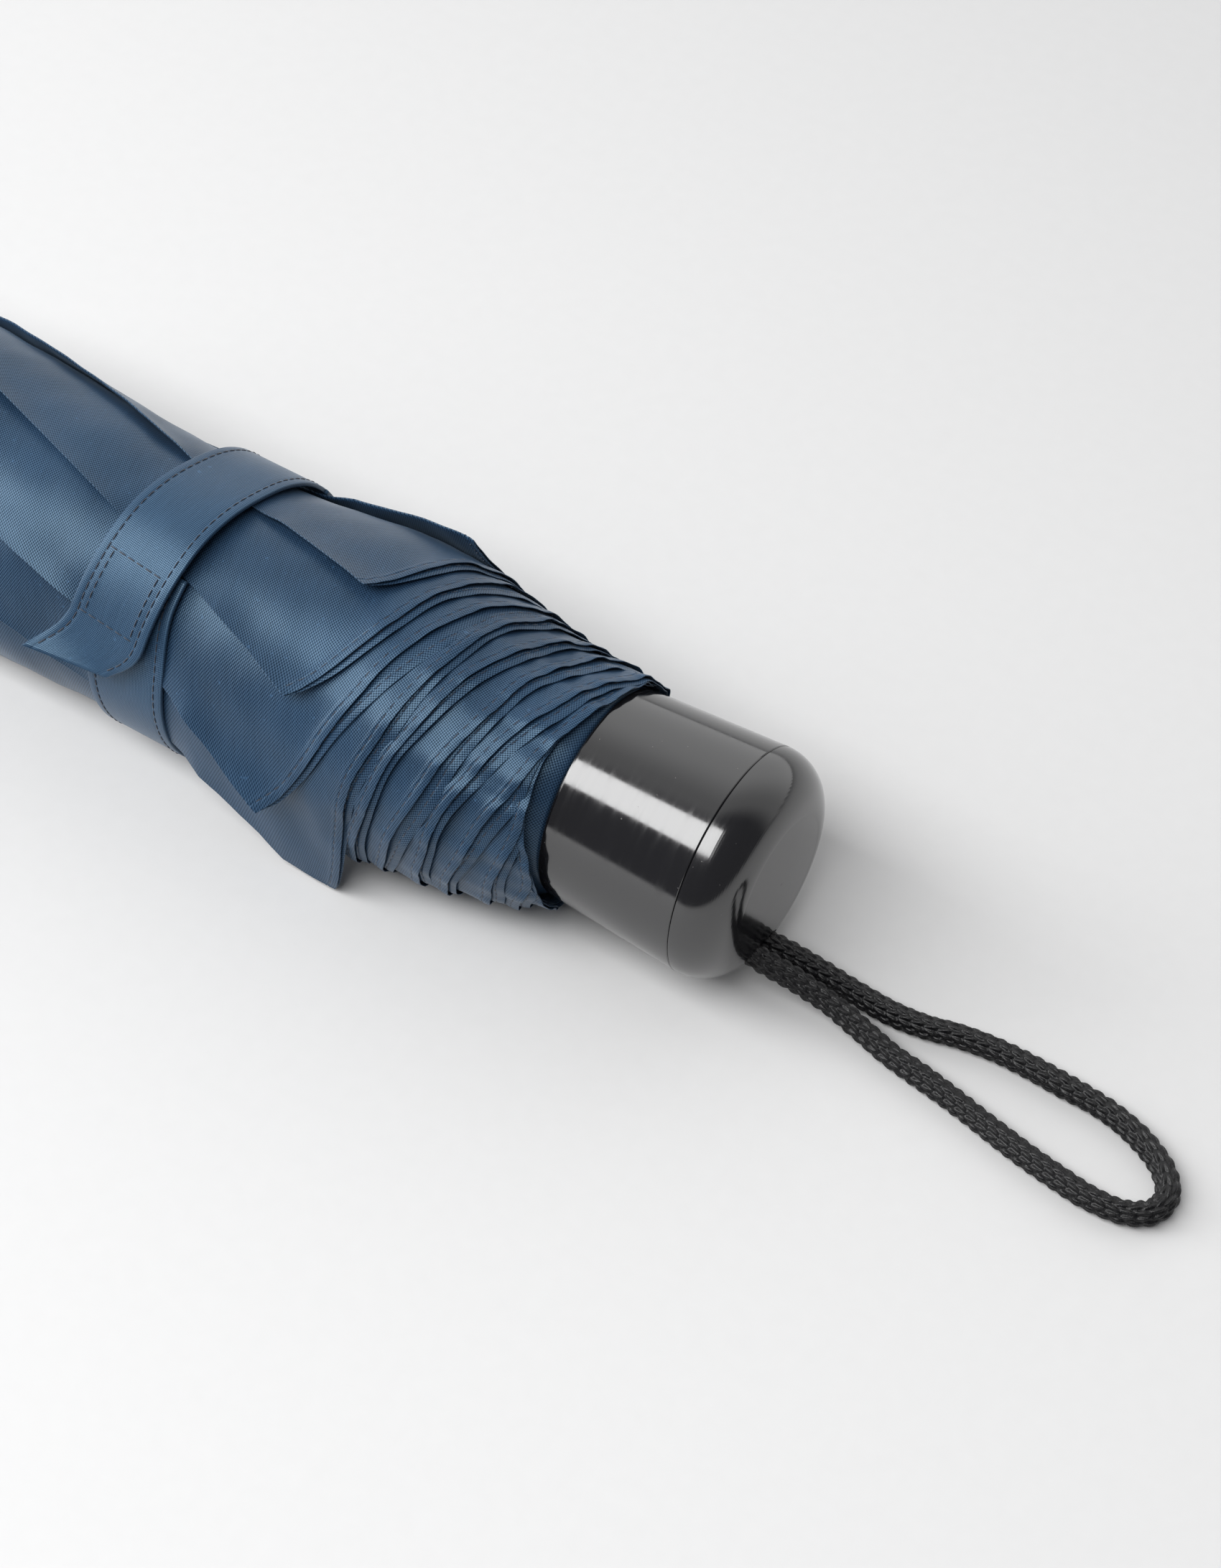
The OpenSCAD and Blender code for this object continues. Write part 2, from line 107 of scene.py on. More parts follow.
# ---------------------------------------------------------------- mesh helpers
def make_object(name, points, faces, uv=None, smooth=True):
    """A mesh object from points in millimetres, faces, and a cloth coordinate at each point."""
    mesh = bpy.data.meshes.new(name)
    corners = [tuple(int(k) for k in face) for face in faces]
    mesh.from_pydata((np.asarray(points, float) * MM).tolist(), [], corners)
    mesh.update()
    if uv is not None:
        layer = mesh.uv_layers.new(name="cloth")
        loops = np.zeros(len(mesh.loops), np.int32)
        mesh.loops.foreach_get("vertex_index", loops)
        layer.data.foreach_set("uv", np.asarray(uv, np.float32)[loops].ravel())
    mesh.polygons.foreach_set("use_smooth", [smooth] * len(mesh.polygons))
    obj = bpy.data.objects.new(name, mesh)
    bpy.context.scene.collection.objects.link(obj)
    return obj


def apply_modifiers(obj):
    graph = bpy.context.evaluated_depsgraph_get()
    mesh = bpy.data.meshes.new_from_object(obj.evaluated_get(graph))
    obj.modifiers.clear()
    obj.data = mesh
    return obj


def thicken(obj, thickness, offset=0.0):
    solid = obj.modifiers.new("thickness", "SOLIDIFY")
    solid.thickness = thickness * MM
    solid.offset = offset
    solid.use_even_offset = False
    return apply_modifiers(obj)


def grid_faces(rows, columns, wrap_rows=False, wrap_columns=False, keep=None):
    """Quads of a grid stored row by row. keep(i, j) says which cells are wanted."""
    faces = []
    for i in range(rows if wrap_rows else rows - 1):
        for j in range(columns if wrap_columns else columns - 1):
            if keep is None or keep(i, j):
                k, m = (i + 1) % rows, (j + 1) % columns
                faces.append((i * columns + j, i * columns + m, k * columns + m, k * columns + j))
    return faces


def dropped_loose(points, faces, uv):
    """The same mesh without the points that no face uses."""
    used = np.unique(np.array(faces).ravel())
    place = np.full(len(points), -1)
    place[used] = np.arange(len(used))
    return np.asarray(points)[used], place[np.array(faces)], np.asarray(uv)[used]


def join(name, parts):
    """One object from a list of (points, faces), in millimetres."""
    points, faces, base = [], [], 0
    for p, f in parts:
        points.append(np.asarray(p, float))
        faces.extend([tuple(k + base for k in face) for face in f])
        base += len(p)
    return make_object(name, np.concatenate(points), faces)


# ---------------------------------------------------------------- material helpers
class Shader:
    """A material's node tree, with short calls for the nodes that these materials share."""

    def __init__(self, name, colour, roughness, **sockets):
        self.mat = bpy.data.materials.new(name)
        self.mat.use_nodes = True
        self.tree = self.mat.node_tree
        self.bsdf = self.tree.nodes["Principled BSDF"]
        self.bsdf.inputs["Base Color"].default_value = (*colour, 1)
        self.bsdf.inputs["Roughness"].default_value = roughness
        for socket, value in sockets.items():
            self.bsdf.inputs[socket.replace("_", " ")].default_value = value

    def node(self, kind, **settings):
        n = self.tree.nodes.new(kind)
        for key, value in settings.items():
            setattr(n, key, value)
        return n

    def link(self, a, b):
        self.tree.links.new(a, b)

    def place(self):
        return self.node("ShaderNodeNewGeometry").outputs["Position"]

    def object_place(self):
        return self.node("ShaderNodeTexCoord").outputs["Object"]

    def cloth_place(self):
        return self.node("ShaderNodeUVMap", uv_map="cloth").outputs["UV"]

    def math(self, operation, a, b=None, clamp=False):
        n = self.node("ShaderNodeMath", operation=operation, use_clamp=clamp)
        for socket, value in zip(n.inputs, (a, b)):
            if value is None:
                continue
            if isinstance(value, (int, float)):
                socket.default_value = value
            else:
                self.link(value, socket)
        return n.outputs[0]

    def noise(self, where, scale, detail=3.0, rough=0.5):
        n = self.node("ShaderNodeTexNoise")
        n.inputs["Scale"].default_value = scale
        n.inputs["Detail"].default_value = detail
        n.inputs["Roughness"].default_value = rough
        self.link(where, n.inputs["Vector"])
        return n.outputs["Fac"]

    def cells(self, where, scale):
        n = self.node("ShaderNodeTexVoronoi")
        n.inputs["Scale"].default_value = scale
        self.link(where, n.inputs["Vector"])
        return n.outputs["Distance"]

    def scaled(self, where, sizes):
        n = self.node("ShaderNodeMapping")
        n.inputs["Scale"].default_value = sizes
        self.link(where, n.inputs["Vector"])
        return n.outputs["Vector"]

    def ramp(self, fac, stops):
        n = self.node("ShaderNodeValToRGB")
        while len(n.color_ramp.elements) < len(stops):
            n.color_ramp.elements.new(0.5)
        for element, (at, colour) in zip(n.color_ramp.elements, stops):
            element.position = at
            element.color = (*colour, 1)
        self.link(fac, n.inputs["Fac"])
        return n.outputs["Color"]

    def spread(self, fac, lo, hi, out_lo, out_hi):
        n = self.node("ShaderNodeMapRange")
        for k, value in enumerate((lo, hi, out_lo, out_hi)):
            n.inputs[k + 1].default_value = value
        self.link(fac, n.inputs[0])
        return n.outputs[0]

    def mix(self, fac, a, b, kind="MIX"):
        n = self.node("ShaderNodeMix", data_type="RGBA", blend_type=kind)
        sockets = [s for s in n.inputs if s.type == "RGBA"]
        if isinstance(fac, (int, float)):
            n.inputs[0].default_value = fac
        else:
            self.link(fac, n.inputs[0])
        for socket, value in zip(sockets, (a, b)):
            if isinstance(value, tuple):
                socket.default_value = (*value, 1)
            else:
                self.link(value, socket)
        return [s for s in n.outputs if s.type == "RGBA"][0]

    def bump(self, height, strength, distance, below=None):
        n = self.node("ShaderNodeBump")
        n.inputs["Strength"].default_value = strength
        n.inputs["Distance"].default_value = distance * MM
        self.link(height, n.inputs["Height"])
        if below is not None:
            self.link(below, n.inputs["Normal"])
        return n.outputs["Normal"]

    def finish(self, colour=None, roughness=None, normal=None):
        if colour is not None:
            self.link(colour, self.bsdf.inputs["Base Color"])
        if roughness is not None:
            self.link(roughness, self.bsdf.inputs["Roughness"])
        if normal is not None:
            self.link(normal, self.bsdf.inputs["Normal"])
        return self.mat


def weave_height(s, where, pitch, lean=0.0):
    """Plain weave: threads that go over and under each other, pitch millimetres apart."""
    split = s.node("ShaderNodeSeparateXYZ")
    s.link(where, split.inputs[0])
    turn = math.radians(lean)
    x, y = split.outputs["X"], split.outputs["Y"]
    u = s.math("ADD", s.math("MULTIPLY", x, math.cos(turn)), s.math("MULTIPLY", y, math.sin(turn)))
    v = s.math("SUBTRACT", s.math("MULTIPLY", y, math.cos(turn)), s.math("MULTIPLY", x, math.sin(turn)))
    wave_u = s.math("SINE", s.math("MULTIPLY", u, tau / (2 * pitch)))
    wave_v = s.math("SINE", s.math("MULTIPLY", v, tau / (2 * pitch)))
    return s.spread(s.math("MULTIPLY", wave_u, wave_v), -1, 1, 0, 1)


def cloth_material(name, dark, light, pitch, lean):
    """Polyester canopy cloth: fine weave, satin gloss, soft dents, faint rubbed folds, and painted glints on
    the yarns.
    """
    s = Shader(name, light, 0.4, Sheen_Weight=0.06, Sheen_Roughness=0.4, IOR=1.5)
    s.bsdf.inputs["Sheen Tint"].default_value = (0.55, 0.75, 1.0, 1)
    s.bsdf.inputs["Specular Tint"].default_value = (0.52, 0.78, 1.0, 1)
    where = s.cloth_place()
    weave = weave_height(s, where, pitch, lean)
    slub = s.noise(s.scaled(where, (0.25, 2.2, 1.0)), 1.0, 2.0)
    broad = s.noise(s.object_place(), 38.0, 3.0)
    # Colour follows the weave: partly the cloth's own light yarns and dark gaps, partly painted glints, since
    # the yarn tops are made light enough to stand in for highlights.
    shade = s.math("ADD", s.spread(weave, 0, 1, -0.42, 0.42), s.spread(slub, 0.3, 0.7, -0.07, 0.07))
    shade = s.math("ADD", shade, s.spread(broad, 0.3, 0.7, 0.34, 0.66), clamp=True)
    colour = s.ramp(shade, [(0.0, dark), (1.0, light)])
    # Painted glints: small light specks mixed into the colour stand in for sparkle of light off the satin.
    painted_glint = s.noise(s.object_place(), 900.0, 1.0)
    colour = s.mix(s.spread(painted_glint, 0.72, 0.80, 0.0, 0.25), colour, tuple(min(1.0, 2.2 * c) for c in light))
    rough = s.spread(s.math("ADD", weave, broad), 0.3, 1.6, 0.33, 0.43)
    dent = s.noise(s.scaled(where, (0.035, 0.075, 1.0)), 1.0, 1.0)
    crease = s.noise(s.scaled(where, (0.09, 0.30, 1.0)), 1.0, 3.0)
    normal = s.bump(dent, 0.20, 3.0)
    normal = s.bump(crease, 0.09, 0.6, normal)
    normal = s.bump(weave, 0.30, 0.08, normal)
    s.link(s.spread(weave, 0, 1, 0.04, 0.96), s.bsdf.inputs["Specular IOR Level"])
    return s.finish(colour, rough, normal)


def thread_material(name, colour):
    s = Shader(name, colour, 0.6, Sheen_Weight=0.2)
    twist = s.noise(s.scaled(s.object_place(), (5200, 2600, 2600)), 1.0, 1.0)
    shade = s.ramp(twist, [(0.3, tuple(0.55 * c for c in colour)), (0.7, tuple(1.5 * c for c in colour))])
    return s.finish(shade, s.spread(twist, 0.2, 0.8, 0.45, 0.75), s.bump(twist, 0.5, 0.1))


def gloss_material(name, colour, roughness, ior):
    """Moulded glossy plastic: a faint flow ripple, dust and hair scratches."""
    s = Shader(name, colour, roughness, IOR=ior)
    where = s.object_place()
    ripple = s.noise(s.scaled(where, (60, 60, 60)), 1.0, 2.0)
    scratch = s.noise(s.scaled(where, (900, 90, 90)), 1.0, 4.0, 0.7)
    dust = s.cells(where, 420.0)
    speck = s.spread(dust, 0.02, 0.05, 1.0, 0.0)
    shade = s.mix(s.math("MULTIPLY", speck, 0.35), colour, (0.20, 0.19, 0.18))
    rough = s.math("ADD", s.spread(scratch, 0.45, 0.8, roughness, roughness + 0.10),
                   s.math("MULTIPLY", speck, 0.3), clamp=True)
    normal = s.bump(ripple, 0.10, 0.5)
    normal = s.bump(scratch, 0.04, 0.02, normal)
    return s.finish(shade, rough, normal)


def plastic_material(name, colour, roughness):
    """Plain moulded plastic for the hidden parts."""
    s = Shader(name, colour, roughness)
    grain = s.noise(s.object_place(), 2600.0, 2.0)
    flow = s.noise(s.object_place(), 90.0, 2.0)
    shade = s.ramp(flow, [(0.3, tuple(0.8 * c for c in colour)), (0.7, tuple(1.25 * c for c in colour))])
    rough = s.spread(grain, 0.3, 0.7, roughness - 0.1, roughness + 0.12)
    return s.finish(shade, rough, s.bump(grain, 0.25, 0.05))


def metal_material(name, colour, roughness, along):
    """Drawn or stamped steel: fine lines along the work, small stains."""
    s = Shader(name, colour, roughness, Metallic=1.0)
    where = s.object_place()
    lines = s.noise(s.scaled(where, along), 1.0, 3.0, 0.6)
    stain = s.noise(where, 120.0, 4.0)
    shade = s.ramp(stain, [(0.35, tuple(0.90 * c for c in colour)), (0.62, colour)])
    rough = s.math("ADD", s.spread(lines, 0.3, 0.7, roughness - 0.08, roughness + 0.12),
                   s.spread(stain, 0.4, 0.8, 0.0, 0.04), clamp=True)
    return s.finish(shade, rough, s.bump(lines, 0.12, 0.03))


def cord_material():
    """Black knitted cord: shiny yarn over dark gaps."""
    s = Shader("cord_knit", (0.005, 0.005, 0.006), 0.36, IOR=1.38, Sheen_Weight=0.0)
    where = s.cloth_place()
    fibre = s.noise(s.scaled(where, (9.0, 2.4, 1.0)), 1.0, 2.0)
    fuzz = s.noise(s.object_place(), 2400.0, 2.0)
    shade = s.ramp(fibre, [(0.35, (0.0015, 0.0015, 0.002)), (0.7, (0.010, 0.010, 0.011))])
    rough = s.spread(fuzz, 0.3, 0.7, 0.22, 0.42)
    normal = s.bump(fibre, 0.6, 0.10)
    return s.finish(shade, rough, s.bump(fuzz, 0.3, 0.05, normal))


def tape_material(name, colour, scale, depth):
    """Hook or loop tape: a coarse knitted ground under a pile."""
    s = Shader(name, colour, 0.8, Sheen_Weight=0.12)
    where = s.object_place()
    pile = s.cells(where, scale)
    ground = s.noise(where, scale * 0.6, 3.0)
    shade = s.ramp(s.math("ADD", pile, s.spread(ground, 0.3, 0.7, -0.1, 0.2)),
                   [(0.1, tuple(1.9 * c for c in colour)), (0.6, tuple(0.5 * c for c in colour))])
    return s.finish(shade, s.spread(ground, 0.3, 0.7, 0.65, 0.95), s.bump(pile, 0.8, depth))


# ---------------------------------------------------------------- camera
CAMERA_AT = (0.25481, -0.25654, 0.41621)
CAMERA_AZIMUTH = 33.0
CAMERA_ELEVATION = 52.0
FOCAL_PER_HEIGHT = 1.99863


def add_camera():
    data = bpy.data.cameras.new("camera")
    data.sensor_fit = "VERTICAL"
    data.sensor_height = 36.0
    data.lens = 36.0 * FOCAL_PER_HEIGHT
    data.clip_start = 0.01
    data.clip_end = 20.0
    az, el = math.radians(CAMERA_AZIMUTH), math.radians(CAMERA_ELEVATION)
    back = Vector((math.sin(az) * math.cos(el), -math.cos(az) * math.cos(el), math.sin(el)))
    right = Vector((math.cos(az), math.sin(az), 0))
    up = back.cross(right)
    turn = Matrix((right, up, back)).transposed().to_4x4()
    obj = bpy.data.objects.new("camera", data)
    obj.matrix_world = Matrix.Translation(CAMERA_AT) @ turn
    bpy.context.scene.collection.objects.link(obj)
    bpy.context.scene.camera = obj


add_camera()


# ---------------------------------------------------------------- wrist cord
CORD_D = 4.2
CORD_ROUTE = [
    (111, -1.9, 9.6), (119.3, -1.6, 7.3), (124, -0.8, 5.8), (129, -0.2, 4.3), (134.5, 0.2, 2.9),
    (141, 0.3, 2.2), (147, 1, 2.2), (152, 2.3, 2.2), (158, 3.2, 2.2), (164, 3.4, 2.2),
    (170, 3.2, 2.2), (176, 3, 2.2), (181, 2.2, 2.2), (186, 0.5, 2.2), (190.4, -2.2, 2.2),
    (192.9, -5.8, 2.2), (192.3, -9.5, 2.2), (188.6, -12, 2.2), (183, -12.6, 2.2), (177.5, -12.1, 2.2),
    (171.5, -11.3, 2.2), (165, -10.1, 2.2), (158, -8.7, 2.2), (151.5, -7.6, 2.2), (145, -6.7, 2.3),
    (139, -5.4, 2.8), (133, -4.6, 4.1), (127, -4.8, 5.9), (119.3, -5.9, 8.6), (111, -5.6, 10.6)]
STITCH_PITCH = 2.15
WALES = 6
CORD_STEP = 0.145
CORD_SIDES = 60


def smooth_route(points, step):
    """Evenly spaced points on a Catmull-Rom curve through the route's points."""
    p = np.array(points, float)
    p = np.vstack([2 * p[0] - p[1], p, 2 * p[-1] - p[-2]])
    dense = []
    for i in range(1, len(p) - 2):
        for w in np.linspace(0, 1, 40, endpoint=False):
            dense.append(0.5 * ((2 * p[i]) + (p[i + 1] - p[i - 1]) * w
                                + (2 * p[i - 1] - 5 * p[i] + 4 * p[i + 1] - p[i + 2]) * w ** 2
                                + (3 * p[i] - p[i - 1] - 3 * p[i + 1] + p[i + 2]) * w ** 3))
    dense.append(p[-2])
    dense = np.array(dense)
    run = np.concatenate([[0], np.cumsum(np.linalg.norm(np.diff(dense, axis=0), axis=1))])
    even = np.linspace(0, run[-1], int(round(run[-1] / step)) + 1)
    return np.stack([np.interp(even, run, dense[:, k]) for k in range(3)], axis=1), run[-1]


def knit_height(angle, along):
    """Height of knitted stitches on a cord: columns of nested V shapes round it."""
    column = angle / tau * WALES
    across = (column % 1.0) * 2 - 1
    offset = 0.5 * (np.floor(column) % 2)
    phase = along / STITCH_PITCH + offset - 0.62 * np.abs(across)
    lobe = np.abs(np.sin(pi * phase)) ** 0.6
    arm = 1 - 0.55 * np.abs(np.abs(across) - 0.5) * 2
    valley = 1 - np.exp(-((1 - np.abs(across)) / 0.16) ** 2)
    middle = 1 - 0.5 * np.exp(-(across / 0.14) ** 2)
    return lobe * arm * (0.35 + 0.65 * valley) * middle


def tube_round(path, sides, radius_of):
    """Points and angles of a tube swept along an evenly spaced path."""
    ahead = np.gradient(path, axis=0)
    ahead /= np.linalg.norm(ahead, axis=1)[:, None]
    side = np.cross((0, 0, 1), ahead)
    side /= np.linalg.norm(side, axis=1)[:, None]
    lift = np.cross(ahead, side)
    angle = np.linspace(0, tau, sides, endpoint=False)
    r = radius_of(angle)
    across, upwards = np.cos(angle)[None, :, None], np.sin(angle)[None, :, None]
    ring = across * side[:, None, :] + upwards * lift[:, None, :]
    return path[:, None, :] + r[:, :, None] * ring, angle


def wrist_cord(material):
    path, length = smooth_route(CORD_ROUTE, CORD_STEP)
    run = np.arange(len(path)) * CORD_STEP
    depth = 0.58

    def radius_of(angle):
        high = knit_height(angle[None, :] + 0.35 * np.sin(run / 23.0)[:, None], run[:, None])
        loose = 0.06 * np.sin(run / 4.1) + 0.05 * np.sin(run / 2.3 + 1)
        return CORD_D / 2 - depth + depth * high + loose[:, None] * 0.5

    points, angle = tube_round(path, CORD_SIDES, radius_of)
    points[:, :, 2] = np.maximum(points[:, :, 2], 0.05)
    rows, columns = points.shape[:2]
    u = np.repeat(run, columns)
    v = np.tile(angle * CORD_D / 2, rows)
    faces = grid_faces(rows, columns, wrap_columns=True)
    faces.append(tuple(range(columns - 1, -1, -1)))
    faces.append(tuple(range((rows - 1) * columns, rows * columns)))
    cord = make_object("wrist_loop_cord", points.reshape(-1, 3), faces, np.stack([u, v], axis=1))
    cord.data.materials.append(material)
    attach(cord, "handle")
    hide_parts("wrist_cord")
    return length


CORD_BLACK = cord_material()
wrist_cord(CORD_BLACK)


# ---------------------------------------------------------------- shape of the roll
# Distance from the rim, mean radius, and how far the roll hangs down towards the viewer's side
ROLL_OUTLINE = [
    (-4, 19.0, 0.2), (0, 19.9, 0.6), (3, 20.9, 1.4), (10, 22.1, 2.4), (17, 23.3, 2.4), (24, 24.6, 2.2),
    (31, 25.8, 1.8), (38, 26.6, 1.4), (45, 26.6, 1.3), (52, 26.0, 1.4), (59, 25.2, 1.5), (66, 24.5, 1.6),
    (72, 24.1, 1.6), (86, 24.1, 1.6), (96, 24.3, 1.6), (110, 24.8, 1.3), (125, 25.3, 0.9),
    (146, 25.5, 0.5), (165, 25.0, 0.2), (175, 24.3, 0.0), (185, 22.6, 0.0), (204, 22.6, 0.0)]
CROWN_TURN = 185.0
CROWN_RUN = 18.0
SAG_ANGLE = 123.0
LAYER_STEP = 0.75
SHEET_T = 0.14
FOLD_GAP = 0.30
HEM_SLOPE = 0.125
HEM_TOP = 42.0

outline = np.array(ROLL_OUTLINE, float)
fine_t = np.arange(-14, 210, 0.5)
blur = np.exp(-(np.arange(-10, 11) * 0.5 / 2.6) ** 2)
blur /= blur.sum()


def blurred(column):
    raw = np.interp(fine_t, outline[:, 0], outline[:, column])
    return np.convolve(np.pad(raw, 10, mode="edge"), blur, mode="valid")


fine_mean, fine_sag = blurred(1), blurred(2)


def roll_mean(s):
    """Mean radius at run s: it follows t up to the crown's turn and then goes in under the cap."""
    w = np.clip((s - CROWN_TURN) / CROWN_RUN, 0, 1)
    side = np.interp(s, fine_t, fine_mean)
    turned = 6.5 + (22.6 - 6.5) * np.cos(w * pi / 2) ** 0.9
    return np.where(s > CROWN_TURN, turned, side)


def roll_place(s):
    """Distance from the rim at run s."""
    w = np.clip((s - CROWN_TURN) / CROWN_RUN, 0, 1)
    return np.where(s > CROWN_TURN, CROWN_TURN + (ROLL_END - 0.7 - CROWN_TURN) * np.sin(w * pi / 2), s)


def roll_sag(s):
    return np.interp(s, fine_t, fine_sag)


def pressed(s):
    """1 where the strap holds the cloth down, 0 away from it."""
    return smooth_step(s, STRAP_T - 17, STRAP_T - 10) * (1 - smooth_step(s, STRAP_T + 5, STRAP_T + 13))


def spiral(s, turn):
    """How far a fold has turned round the roll at run s, in degrees."""
    near = np.clip(s, HEM_TOP, 76) - HEM_TOP
    far = np.clip(s, 76, 172) - 76
    return -turn * near - (0.70 - 0.35 * (turn - 0.62)) * far


# Each fold of cloth: angle of its corner, where the corner lies, how far its free edge stands off
FOLDS = [
    {"name": "e", "at": -43, "corner": 36.5, "stand": 14, "pair": 1.9, "lift": 0.9, "turn": 0.62},
    {"name": "a", "at": 8, "corner": 41.5, "stand": 12, "pair": 1.6, "lift": 1.0, "turn": 0.58},
    {"name": "b", "at": 52, "corner": 43.5, "stand": 15, "pair": 2.4, "lift": 1.3, "turn": 0.66},
    {"name": "c", "at": 98, "corner": 45, "stand": 22, "pair": 2.8, "lift": 1.3, "turn": 0.90},
    {"name": "d", "at": 128, "corner": 34, "stand": 35, "pair": 1.5, "lift": 0.4, "turn": 0.85},
    {"name": "f", "at": 176, "corner": 41, "stand": 8, "pair": 1.4, "lift": 0.2, "turn": 0.7},
    {"name": "g", "at": 226, "corner": 43, "stand": 8, "pair": 2.2, "lift": 0.3, "turn": 0.62},
    {"name": "h", "at": 272, "corner": 39, "stand": 9, "pair": 1.7, "lift": 0.5, "turn": 0.62}]
# Rows of points up from a hem, close together round its stitched groove
HEM_ROWS = [0, 0.10, 0.40, 0.80, 1.10, 1.30, 1.45, 1.60, 1.80, 2.05, 2.6, 3.4, 4.5, 6, 8, 10.5, 13, 15.5]
HEM_STITCH = 1.45
EDGE_COLUMNS = [0, 0.05, 0.14, 0.3, 0.55, 0.9, 1.4, 2.0, 2.8, 3.8, 5.0]
COLUMN_STEP = 1.35
BODY_ANGLE = 108.0
HEM_ANGLE = 372.0
BODY_RUN = CROWN_TURN + CROWN_RUN


def hem_floor(a):
    """How near to the rim the last hems come, by angle."""
    return 0.2 + 2.7 * bell(angle_gap(a, 36), 0, 30) - 2.4 * bell(angle_gap(a, -58), 0, 42) \
        - 2.0 * bell(angle_gap(a, 118), 0, 36)


def hem_place(fold, d, inner):
    """Where a fold's hem lies, d degrees behind its free edge."""
    index = FOLDS.index(fold)
    t = HEM_TOP + (fold["corner"] - HEM_TOP) * np.exp(-d / 50) - HEM_SLOPE * d - 3.0 * (1 - np.exp(-d / 12))
    t = t + 0.5 * np.sin(np.radians(d) * 2.3 + index * 1.7) * smooth_step(d, 10, 60)
    t = t + 0.18 * np.sin(np.radians(d) * 9 + index * 2.9) * smooth_step(d, 10, 60)
    if inner:
        t = t - fold["pair"] * (1 - np.exp(-d / 26)) * (1 + 0.35 * np.sin(np.radians(d) * 3.1 + index))
    floor = hem_floor(fold["at"] - d) + 0.035 * np.clip(d - 330, 0, 60) + (0.4 if inner else 0)
    return floor + np.logaddexp(0, (t - floor) / 0.8) * 0.8


def exposed_angle(s):
    """How far behind its free edge a fold comes out from under the folds above it."""
    return np.clip((HEM_TOP - 3 - s) / HEM_SLOPE, 0, 360)


def flap_surface(fold, d, s, below, inner):
    """Place of a fold's cloth: d degrees behind its free edge, at run s, below millimetres from the hem."""
    index = FOLDS.index(fold)
    a = fold["at"] + spiral(s, fold["turn"]) - d
    mean = roll_mean(s)
    tight = pressed(s)
    crown = 1 - smooth_step(s, 172, 190)
    rad = np.radians(a)
    r = mean + roll_sag(s) * np.cos(np.radians(a - SAG_ANGLE))
    # wandering softness of the whole roll, shared by all layers so that they keep their order
    arc = rad * 24
    shared = 0.22 * waves(arc, s, 11, 6, 34) + 0.10 * waves(arc, s, 12, 6, 13)
    r = r + shared * (1 - 0.8 * tight) * crown
    # the layer's own depth
    r = r - LAYER_STEP * (d - np.minimum(d, exposed_angle(s))) / 45 * np.clip(mean / 24, 0.25, 1)
    # the free edge stands off in a straight line
    hold = np.clip((77 - s) / 34, 0, 1) ** 1.1
    reach = (fold["stand"] - 9) * hold + 9
    reach = reach * (1 - 0.75 * tight) * crown
    off = np.radians(np.clip(reach - d, 0, 60))
    r = r / np.cos(off)
    edge = fold["lift"] * np.exp(-d / 6.5) * (1 - 0.7 * tight) * crown
    near_corner = bell(d, 0, 16) * bell(s, fold["corner"], 9)
    r = r + edge * (0.7 + 1.0 * near_corner)
    # two layers, joined round the free edge
    bend = np.clip(d / 0.9, 0, 1)
    gap = FOLD_GAP * np.sqrt(1 - (1 - bend) ** 2) * np.clip(mean / 24, 0.3, 1)
    if inner:
        r = r - gap
    # the hem: a folded band with a stitched groove, lifted and ruffled
    band = 0.10 * (1 - smooth_step(below, 1.75, 2.0)) - 0.13 * bell(below, HEM_STITCH, 0.16)
    lifted = (0.34 if not inner else 0.14) * np.exp(-(below / 2.6) ** 2) * smooth_step(d, 0, 6)
    busy = 0.13 + 0.15 * smooth_step(d, 90, 260)
    arc_own = np.radians(d) * 24
    ruffle = np.sin(tau * arc_own / 8.7 + index * 1.9) + 0.6 * np.sin(tau * arc_own / 5.1 + index * 4.1)
    ruffle = ruffle + 0.5 * np.sin(tau * arc_own / 13.0 + index)
    ruffle = np.clip(ruffle, -1.0, 1.6) * busy * np.exp(-below / 3.4) * smooth_step(d, 8, 40)
    r = r + band + lifted + ruffle * (0.55 if inner else 0.8)
    # the last hems lie on the rim, never in it
    near_rim = 1 - smooth_step(s, 0.5, 4.0)
    least = RIM_R + 0.45 + 0.35 * (0 if inner else 1)
    r = np.where(near_rim > 0, r + near_rim * np.maximum(0, least - r), r)
    return cloth_place(s, a, r, 0.25 + 0.85 * tight)


def cloth_place(s, a, r, floor=0.25):
    """x, y, z of cloth on the roll. It spreads where it meets the surface it lies on."""
    rad = np.radians(a)
    x = RIM_X - roll_place(s)
    y = -r * np.sin(rad)
    z = SHAFT_Z + r * np.cos(rad)
    soft = 3.0
    z = np.where(z < floor + soft, floor + soft * np.exp(np.minimum(z - floor - soft, 0) / soft), z)
    return np.stack(np.broadcast_arrays(x, y, z), axis=-1)


def flap_columns():
    tail = np.arange(EDGE_COLUMNS[-1] + COLUMN_STEP, HEM_ANGLE, COLUMN_STEP)
    return np.concatenate([EDGE_COLUMNS, tail])


def flap_side(fold, d, inner):
    """Grid of one layer: rows run from the hem to the crown, columns from the free edge back."""
    hem = hem_place(fold, d, inner)
    hem_rows = np.array(HEM_ROWS)
    body_rows = np.linspace(0, 1, 78)[1:]
    s_hem = hem[None, :] + hem_rows[:, None]
    start = s_hem[-1]
    s_body = start[None, :] + body_rows[:, None] * (BODY_RUN - start[None, :])
    s = np.vstack([s_hem, s_body])
    below = s - hem[None, :]
    points = flap_surface(fold, d[None, :] + 0 * s, s, below, inner)
    return points, s, below


